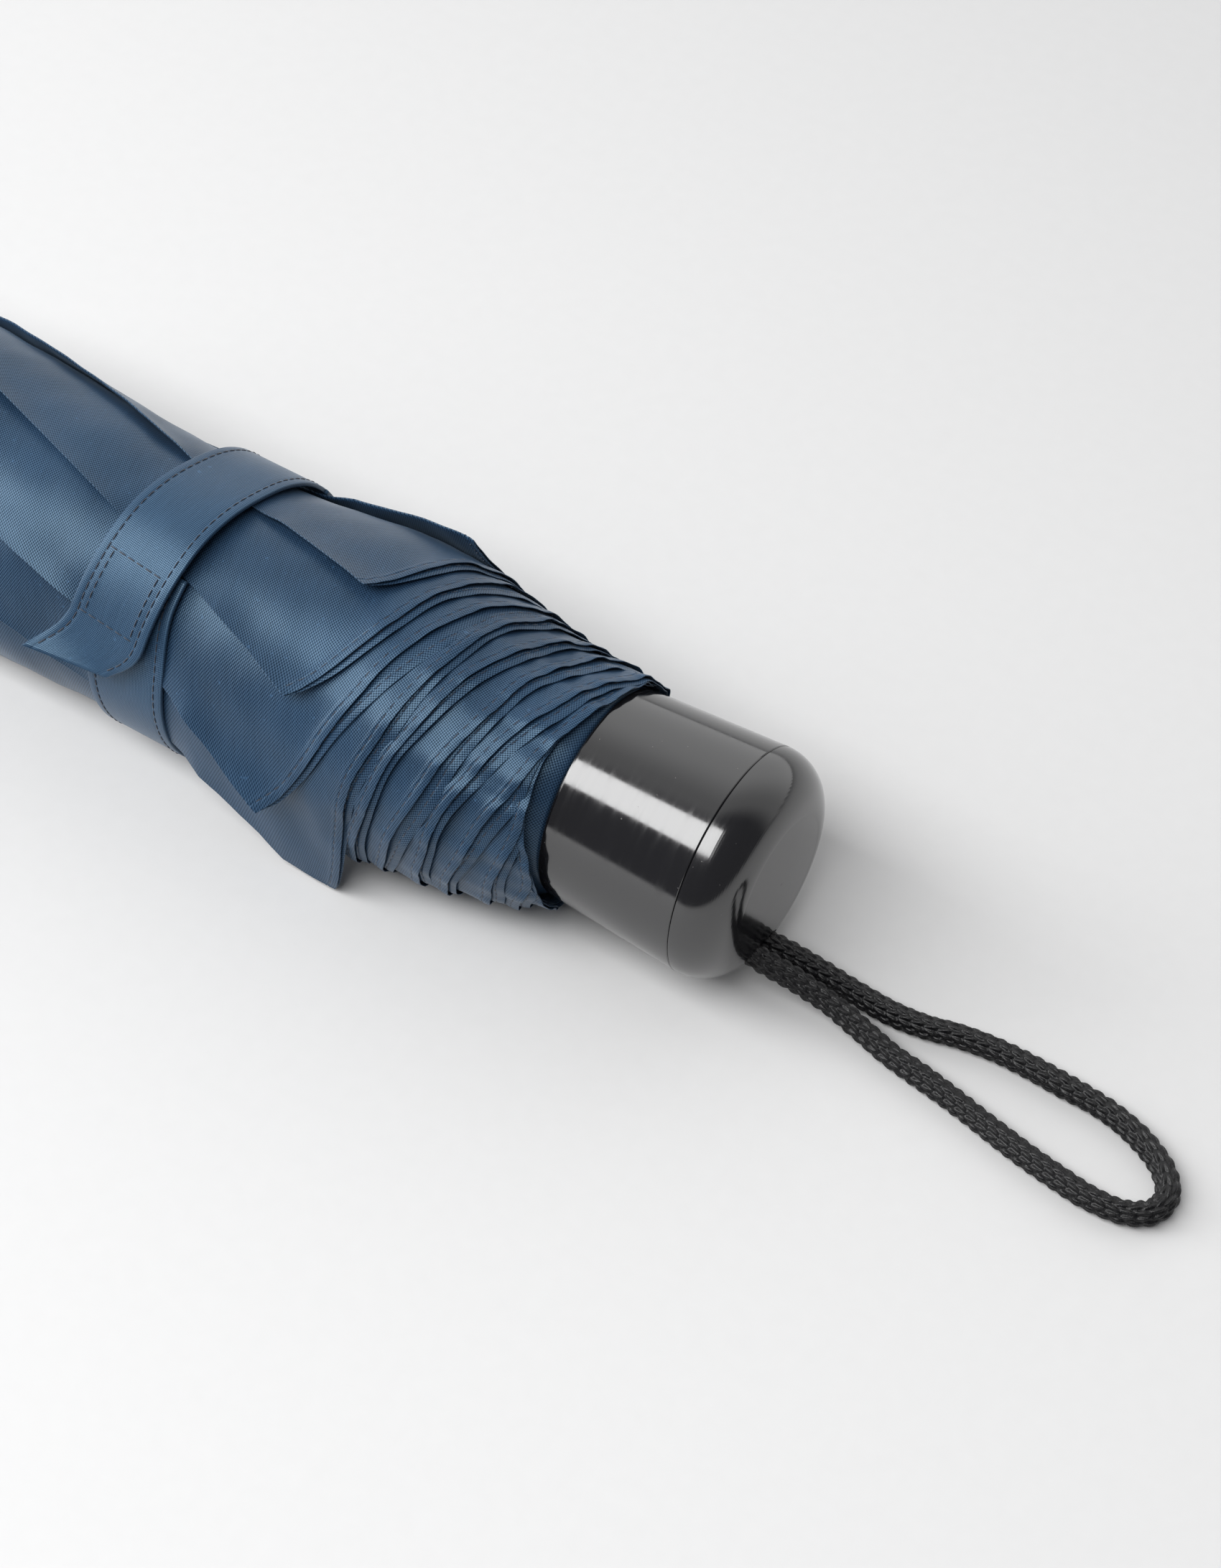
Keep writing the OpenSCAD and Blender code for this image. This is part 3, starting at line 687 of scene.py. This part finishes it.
def canopy_flap(fold, material):
    """One fold of the canopy: two layers of cloth joined along the free edge."""
    d = flap_columns()
    outer, s_out, below_out = flap_side(fold, d, False)
    inner, s_in, below_in = flap_side(fold, d, True)
    points = np.concatenate([inner[:, :0:-1], outer], axis=1)
    s = np.concatenate([s_in[:, :0:-1], s_out], axis=1)
    signed = np.concatenate([-d[:0:-1], d])
    rows, columns = s.shape
    u = np.radians(signed)[None, :] * 24 + 0 * s
    lean = np.radians(20.0)
    uv = np.stack([u * math.cos(lean) + s * math.sin(lean), s * math.cos(lean) - u * math.sin(lean)], axis=-1)
    hem_count = len(HEM_ROWS) - 1
    wide = np.abs(signed) <= BODY_ANGLE

    def keep(i, j):
        return i < hem_count or (wide[j] and wide[j + 1])

    faces = grid_faces(rows, columns, keep=keep)
    p, f, c = dropped_loose(points.reshape(-1, 3), faces, uv.reshape(-1, 2))
    flap = make_object("canopy_fold_" + fold["name"], p, f, c)
    flap.data.materials.append(material)
    thicken(flap, SHEET_T)
    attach(flap, "frame")
    return flap


# ---------------------------------------------------------------- stitches
THREAD_R = 0.11


def stitch_chain(points, outwards, thread, length=1.5, gap=0.55):
    """Short sewn threads along a line of places on the cloth, each dipping in at both ends."""
    run = np.concatenate([[0], np.cumsum(np.linalg.norm(np.diff(points, axis=0), axis=1))])
    parts = []
    starts = np.arange(0.3, run[-1] - length, length + gap)
    spots = np.array([0, 0.12, 0.5, 0.88, 1.0])
    sink = np.array([-0.14, 0.03, 0.09, 0.03, -0.14])
    for start in starts:
        at = start + spots * length
        line = np.stack([np.interp(at, run, points[:, k]) for k in range(3)], axis=1)
        out = np.stack([np.interp(at, run, outwards[:, k]) for k in range(3)], axis=1)
        out /= np.linalg.norm(out, axis=1)[:, None]
        ahead = np.gradient(line, axis=0)
        ahead /= np.linalg.norm(ahead, axis=1)[:, None]
        side = np.cross(ahead, out)
        line = line + out * sink[:, None]
        angle = np.linspace(0, tau, 6, endpoint=False)
        ring = line[:, None, :] + thread * (np.cos(angle)[None, :, None] * side[:, None, :]
                                            + np.sin(angle)[None, :, None] * out[:, None, :])
        faces = grid_faces(5, 6, wrap_columns=True)
        faces.append(tuple(range(5, -1, -1)))
        faces.append(tuple(range(24, 30)))
        parts.append((ring.reshape(-1, 3), faces))
    return parts


def outward_of(points):
    """Direction away from the shaft at each place."""
    out = points - np.array([0, 0, SHAFT_Z])
    out[:, 0] = 0
    return out / np.linalg.norm(out, axis=1)[:, None]


def hem_threads(material):
    """The sewn line along every hem, as separate threads."""
    parts = []
    for fold in FOLDS:
        d = np.arange(1.5, 345, 0.8)
        for inner in (False, True):
            s = hem_place(fold, d, inner) + HEM_STITCH
            line = flap_surface(fold, d, s, 0 * s + HEM_STITCH, inner)
            parts.extend(stitch_chain(line, outward_of(line), THREAD_R))
    threads = join("hem_stitches", parts)
    threads.data.materials.append(material)
    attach(threads, "frame")


# ---------------------------------------------------------------- cloth round the rib tips
def hem_core(material):
    """The innermost cloth: it goes into the cup round the rib tips and turns in between them."""
    angles = np.linspace(0, 360, 361)[:-1]
    pleat = 0.5 + 0.5 * np.cos(np.radians(angles * 8 + 180))
    fine = 0.5 + 0.5 * np.cos(np.radians(angles * 24 + 40))
    rows = []
    for t, r, deep in [(26, 20.8, 0.6), (20, 20.6, 0.6), (14, 20.4, 0.7), (9, 20.2, 0.6), (6, 19.9, 0.5),
                       (4, 19.4, 0.4), (2.5, 18.9, 0.3), (1.2, 18.3, 0.25), (0.5, 17.9, 0.2),
                       (0.2, 17.5, 0.2), (0.08, 16.8, 0.2), (-0.6, 16.3, 0.2), (-2, 16.3, 0.3),
                       (-5, 16.3, 0.5), (-8, 16.2, 0.8),
                       (-9.2, 16.1, 1.0), (-9.6, 15.7, 1.0), (-9.3, 15.2, 0.7), (-6, 15.1, 0.4)]:
        radius = r - deep * (0.75 * pleat + 0.25 * fine)
        sag = 1.5 * smooth_step(t, 0.1, 5)
        radius = radius + sag * np.cos(np.radians(angles - SAG_ANGLE))
        rad = np.radians(angles)
        rows.append(np.stack([np.full(360, RIM_X - t), -radius * np.sin(rad),
                              SHAFT_Z + radius * np.cos(rad)], axis=1))
    points = np.array(rows)
    points[:, :, 2] = np.maximum(points[:, :, 2], 0.6)
    count = len(rows)
    u = np.tile(angles / 360 * tau * 17, count)
    steps = np.linalg.norm(np.diff(points[:, 0], axis=0), axis=1)
    v = np.repeat(np.concatenate([[0], np.cumsum(steps)]), 360)
    core = make_object("canopy_hem_core", points.reshape(-1, 3), grid_faces(count, 360, wrap_columns=True),
                       np.stack([u, v], axis=1))
    core.data.materials.append(material)
    smooth = core.modifiers.new("smooth", "SUBSURF")
    smooth.levels = smooth.render_levels = 1
    apply_modifiers(core)
    thicken(core, SHEET_T)
    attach(core, "frame")
    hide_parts("canopy_roll")
    return core


# ---------------------------------------------------------------- strap
BAND_IN = 24.45
STRAP_THICK = 0.8
TAB_IN = 26.5
BOX_START = 35.0
BOX_END = 61.0


def strap_centre(a):
    """Distance from the rim of the strap's middle: it runs a little askew."""
    return STRAP_T + 2.6 * np.sin(np.radians(angle_gap(a, 48)))


def ribbon_section(width, thick, groove_in=1.5):
    """Cross-section of a doubled ribbon: across the width, and height above its underside."""
    half = width / 2
    steps = [0, 0.2, 0.8, groove_in - 0.28, groove_in, groove_in + 0.28, groove_in + 0.9, half * 0.6, half]
    dips = [0.07 if k == 0 else 0.09 if abs(k - groove_in) < 0.01 else 0 for k in steps]
    top = [(-half + k, thick - dip) for k, dip in zip(steps, dips)]
    top = top + [(-w, h) for w, h in reversed(top[:-1])]
    corner = [(half + 0.07, thick * 0.8), (half + 0.04, thick * 0.5), (half + 0.07, thick * 0.2)]
    under = [(half, 0.05), (half - 1.5, 0.0), (0, 0.0), (-half + 1.5, 0.0), (-half, 0.05)]
    return top + corner + under + [(-w, h) for w, h in reversed(corner)]


def sweep_ribbon(name, centres, across, outwards, width, thick, cap_ends=True, narrow=None):
    """A ribbon along a line: centres on its underside, the direction across it, and outwards."""
    section = np.array(ribbon_section(width, thick))
    w, h = section[:, 0], section[:, 1]
    scale = np.ones(len(centres)) if narrow is None else narrow
    points = centres[:, None, :] + (w[None, :] * scale[:, None])[:, :, None] * across[:, None, :] \
        + h[None, :, None] * outwards[:, None, :]
    rows, columns = points.shape[:2]
    faces = grid_faces(rows, columns, wrap_columns=True)
    if cap_ends:
        faces.append(tuple(range(columns - 1, -1, -1)))
        faces.append(tuple(range((rows - 1) * columns, rows * columns)))
    run = np.concatenate([[0], np.cumsum(np.linalg.norm(np.diff(centres, axis=0), axis=1))])
    uv = np.stack([np.repeat(run, columns), np.tile(w + h * 2, rows)], axis=1)
    return make_object(name, points.reshape(-1, 3), faces, uv)


def strap_radius(a):
    """Radius of the cloth under the strap, with the roll's sag."""
    return BAND_IN + 1.25 * np.cos(np.radians(a - SAG_ANGLE))


def strap_frame(a, lift, centre=None):
    """Centre, across and outward directions of the strap at angles a, lift above the cloth."""
    r = strap_radius(a) + lift
    t = strap_centre(a) if centre is None else centre
    centres = cloth_place(t, a, r, 0.95)
    ahead = np.gradient(centres, axis=0)
    ahead /= np.linalg.norm(ahead, axis=1)[:, None]
    out = np.cross(ahead, (1.0, 0.0, 0.0))
    out /= np.linalg.norm(out, axis=1)[:, None]
    middle = np.array([0, 0, SHAFT_Z])
    flip = np.sign(((centres - middle) * [0, 1, 1] * out).sum(1))
    out = out * flip[:, None]
    across = np.cross(out, ahead)
    across *= np.sign(across[:, 0])[:, None]
    return centres, across, out


def strap_band(material):
    """The sewn part of the strap: from under its free end, down round the roll and up at the back."""
    a = np.arange(34.0, 301.0, 1.5)
    centres, across, out = strap_frame(a, 0.05, STRAP_T - 2.8 + 1.5 * (1 - smooth_step(a, 45, 75)))
    band = sweep_ribbon("strap_wrap", centres, across, out, STRAP_W, STRAP_THICK)
    band.data.materials.append(material)
    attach(band, "frame")
    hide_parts("strap_band")
    return centres, across, out


def tab_line():
    """The outer turn of the strap: over the top from the back, down to the box and out to its tip."""
    a = np.arange(-60.0, BOX_END, 1.5)
    climb = smooth_step(a, -20, 26)
    lift = 0.05 + (TAB_IN - BAND_IN - 0.1) * climb
    centres, across, out = strap_frame(a, lift)
    tip = np.array([STRAP_MIDDLE - 5.9, TAB_LOW[1] + 1.6, TAB_LOW[2] - 0.6])
    start = centres[-1]
    heading = centres[-1] - centres[-2]
    heading /= np.linalg.norm(heading)
    reach = np.linalg.norm(tip - start)
    w = np.linspace(0, 1, 15)[1:, None]
    pull = start + heading * reach * 0.42
    settle = tip - np.array([-0.45, -0.75, -0.35]) * reach * 0.35
    free = (1 - w) ** 3 * start + 3 * (1 - w) ** 2 * w * pull + 3 * (1 - w) * w ** 2 * settle + w ** 3 * tip
    centres = np.vstack([centres, free])
    ahead = np.gradient(centres, axis=0)
    ahead /= np.linalg.norm(ahead, axis=1)[:, None]
    end_side = np.array([13.9, 3.1, -2.0])
    end_side /= np.linalg.norm(end_side)
    side = np.vstack([across, (1 - w ** 1.5) * across[-1] + w ** 1.5 * end_side])
    side /= np.linalg.norm(side, axis=1)[:, None]
    out = np.cross(ahead, side)
    out /= np.linalg.norm(out, axis=1)[:, None]
    out *= np.sign(out[:, 2] + 1e-9)[:, None]
    return centres, side, out, len(a)


def strap_tab(material):
    centres, side, out, box_row = tab_line()
    tab = sweep_ribbon("strap_free_end", centres, side, out, STRAP_W, STRAP_THICK)
    tab.data.materials.append(material)
    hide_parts("strap_tab")
    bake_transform(tab)
    return centres, side, out, box_row


def strap_threads(band, tab, material):
    """Sewn lines: both edges of the strap, and the box that holds the tape."""
    half = STRAP_W / 2 - 1.5
    sewn = {"thread": THREAD_R, "length": 1.5, "gap": 0.35}
    centres, side, out = band
    parts = []
    for way in (-1, 1):
        line = centres + side * way * half + out * (STRAP_THICK - 0.05)
        parts.extend(stitch_chain(line, out, **sewn))
    threads = join("strap_wrap_stitches", parts)
    threads.data.materials.append(material)
    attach(threads, "frame")
    centres, side, out, box_row = tab
    parts = []
    for way in (-1, 1):
        line = centres + side * way * half + out * (STRAP_THICK - 0.05)
        parts.extend(stitch_chain(line, out, **sewn))
    box_top = box_row - int(round((BOX_END - BOX_START) / 1.5))
    for row in (box_row - 1, box_top):
        w = np.linspace(-half, half, 30)[:, None]
        line = centres[row] + side[row] * w + out[row] * (STRAP_THICK + 0.01)
        parts.extend(stitch_chain(line, np.repeat(out[row][None, :], 30, axis=0), **sewn))
    for way in (-1, 1):
        rows = slice(box_top, box_row)
        line = centres[rows] + side[rows] * way * (half - 1.3) + out[rows] * (STRAP_THICK + 0.01)
        parts.extend(stitch_chain(line, out[rows], **sewn))
    threads = join("strap_end_stitches", parts)
    threads.data.materials.append(material)
    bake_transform(threads)


def tape_patch(name, a0, a1, r_in, thick, material, body, node):
    """A patch of hook or loop tape: a slab with a pile of small bumps on its working face."""
    a = np.arange(a0, a1 + 0.01, 0.9)
    across = np.linspace(-STRAP_W / 2 + 1.6, STRAP_W / 2 - 1.6, 26)
    t = strap_centre(a)
    rough = 0.10 * waves(np.radians(a)[:, None] * 25, across[None, :], 31, 8, 1.6)
    sheets = []
    hooks = node == "strap_hook_patch"
    for face, bump in ((0, 1.0 if hooks else 0.0), (thick, 0.0 if hooks else 1.0)):
        r = strap_radius(a)[:, None] - BAND_IN + r_in + face + bump * rough
        sheets.append(cloth_place(t[:, None] - across[None, :], a[:, None] + 0 * r, r))
    rows, columns = len(a), len(across)
    points = np.concatenate([s.reshape(-1, 3) for s in sheets])
    low = grid_faces(rows, columns)
    high = [tuple(k + rows * columns for k in reversed(f)) for f in low]
    rim = [(i, 0) for i in range(rows)] + [(rows - 1, j) for j in range(1, columns)]
    rim += [(i, columns - 1) for i in range(rows - 2, -1, -1)] + [(0, j) for j in range(columns - 2, 0, -1)]
    index = [i * columns + j for i, j in rim]
    count = rows * columns
    wall = [(here, there, there + count, here + count) for here, there in zip(index, index[1:] + index[:1])]
    patch = make_object(name, points, low + high + wall)
    patch.data.materials.append(material)
    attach(patch, body)
    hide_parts(node)


# ---------------------------------------------------------------- materials of the CAD nodes
def dress(nodes, material):
    for name in nodes:
        mesh = NODES[name].data
        mesh.materials.clear()
        mesh.materials.append(material)


def dress_frame():
    black = gloss_material("handle_black_gloss", (0.006, 0.006, 0.007), 0.10, 1.88)
    cap = gloss_material("cap_black_gloss", (0.010, 0.010, 0.012), 0.24, 1.5)
    dress(["handle_grip", "handle_end_cap"], black)
    dress(["top_cap"], cap)
    plastic = plastic_material("inner_black_plastic", (0.02, 0.02, 0.022), 0.5)
    dress(["handle_core", "top_notch", "cap_plug", "runner", "rib_tips"], plastic)
    tube = metal_material("chromed_tube", (0.72, 0.73, 0.75), 0.22, (60, 2400, 2400))
    dress(["lower_tube", "middle_tube", "upper_tube", "core_pin"], tube)
    rib = metal_material("zinced_rib", (0.60, 0.61, 0.63), 0.34, (80, 1800, 1800))
    ribs = [f"{kind}_{i}" for kind in ("inner_rib", "stretcher", "middle_rib") for i in range(1, 9)]
    dress(ribs + ["notch_wire", "runner_wire", "rib_rivets"], rib)
    dark = metal_material("dark_spring_steel", (0.22, 0.22, 0.24), 0.36, (200, 900, 900))
    rods = [f"outer_rib_{i}" for i in range(1, 9)]
    dress(rods + ["lower_lock_spring", "middle_lock_spring", "runner_button", "button_spring"], dark)
    dress(["cord_knot"], CORD_BLACK)
    dress(["crown_patch"], CLOTH)


# ---------------------------------------------------------------- surroundings
def add_floor():
    """A plain pale paper sweep."""
    size = 9.0
    mesh = bpy.data.meshes.new("floor")
    corners = [(-size, -size, 0), (size, -size, 0), (size, size, 0), (-size, size, 0)]
    mesh.from_pydata(corners, [], [(0, 1, 2, 3)])
    floor = bpy.data.objects.new("floor", mesh)
    bpy.context.scene.collection.objects.link(floor)
    s = Shader("floor_paper", (0.57, 0.57, 0.57), 0.9, Specular_IOR_Level=0.2)
    tooth = s.noise(s.object_place(), 300.0, 4.0)
    paper = s.ramp(tooth, [(0.0, (0.56, 0.56, 0.56)), (1.0, (0.58, 0.58, 0.58))])
    mesh.materials.append(s.finish(paper, None, s.bump(tooth, 0.12, 0.2)))


def add_softbox(name, at, towards, size, power, colour=(1, 1, 1)):
    data = bpy.data.lights.new(name, "AREA")
    data.shape = "RECTANGLE"
    data.size, data.size_y = size
    data.energy = power
    data.color = colour
    lamp = bpy.data.objects.new(name, data)
    lamp.location = at
    way = Vector(towards) - Vector(at)
    lamp.rotation_euler = way.to_track_quat("-Z", "Y").to_euler()
    bpy.context.scene.collection.objects.link(lamp)


def add_light():
    """A bright back half of the room, a dim front half, and windows above the front and to the left."""
    scene = bpy.context.scene
    scene.view_settings.view_transform = "Standard"
    world = bpy.data.worlds.new("studio")
    scene.world = world
    world.use_nodes = True
    tree = world.node_tree
    back = tree.nodes["Background"]
    way = tree.nodes.new("ShaderNodeTexCoord")
    split = tree.nodes.new("ShaderNodeSeparateXYZ")
    side = tree.nodes.new("ShaderNodeMath")
    side.operation = "MULTIPLY_ADD"
    side.inputs[1].default_value = -0.45
    room = tree.nodes.new("ShaderNodeValToRGB")
    room.color_ramp.interpolation = "EASE"
    room.color_ramp.elements[0].position = 0.42
    room.color_ramp.elements[0].color = (0.12, 0.12, 0.13, 1)
    room.color_ramp.elements[1].position = 0.60
    room.color_ramp.elements[1].color = (0.64, 0.64, 0.64, 1)
    horizon = room.color_ramp.elements.new(0.92)
    horizon.color = (1.25, 1.25, 1.25, 1)
    scale = tree.nodes.new("ShaderNodeMath")
    scale.operation = "MULTIPLY_ADD"
    scale.inputs[1].default_value = 0.5
    scale.inputs[2].default_value = 0.5
    tree.links.new(way.outputs["Generated"], split.inputs[0])
    tree.links.new(split.outputs["X"], side.inputs[0])
    tree.links.new(split.outputs["Y"], side.inputs[2])
    tree.links.new(side.outputs[0], scale.inputs[0])
    tree.links.new(scale.outputs[0], room.inputs["Fac"])
    tree.links.new(room.outputs["Color"], back.inputs["Color"])
    back.inputs["Strength"].default_value = 1.0
    add_softbox("key_window", (-0.45, -0.46, 0.88), (-0.45, 0, 0.03), (1.6, 0.46), 17.0)
    add_softbox("left_window", (-1.3, -0.55, 0.50), (0, -0.02, 0.02), (0.9, 0.9), 14.0)


# ---------------------------------------------------------------- build
CLOTH = cloth_material("canopy_polyester", (0.002, 0.007, 0.018), (0.026, 0.060, 0.116), 0.27, 0.0)
STRAP_CLOTH = cloth_material("strap_polyester", (0.006, 0.016, 0.035), (0.034, 0.076, 0.140), 0.22, 45.0)
THREAD = thread_material("navy_thread", (0.007, 0.013, 0.028))
HOOKS = tape_material("hook_tape", (0.010, 0.018, 0.036), 1500.0, 0.25)
LOOPS = tape_material("loop_tape", (0.014, 0.026, 0.050), 1100.0, 0.20)

for one_fold in FOLDS:
    canopy_flap(one_fold, CLOTH)
hem_core(CLOTH)
hem_threads(THREAD)
band_lines = strap_band(STRAP_CLOTH)
tab_lines = strap_tab(STRAP_CLOTH)
strap_threads(band_lines, tab_lines, THREAD)
tape_patch("strap_loops", 36, 67, 25.25, 0.45, LOOPS, "frame", "strap_loop_patch")
tape_patch("strap_hooks", 36, 60, 26.02, 0.44, HOOKS, "strap_end", "strap_hook_patch")
dress_frame()
add_floor()
add_light()
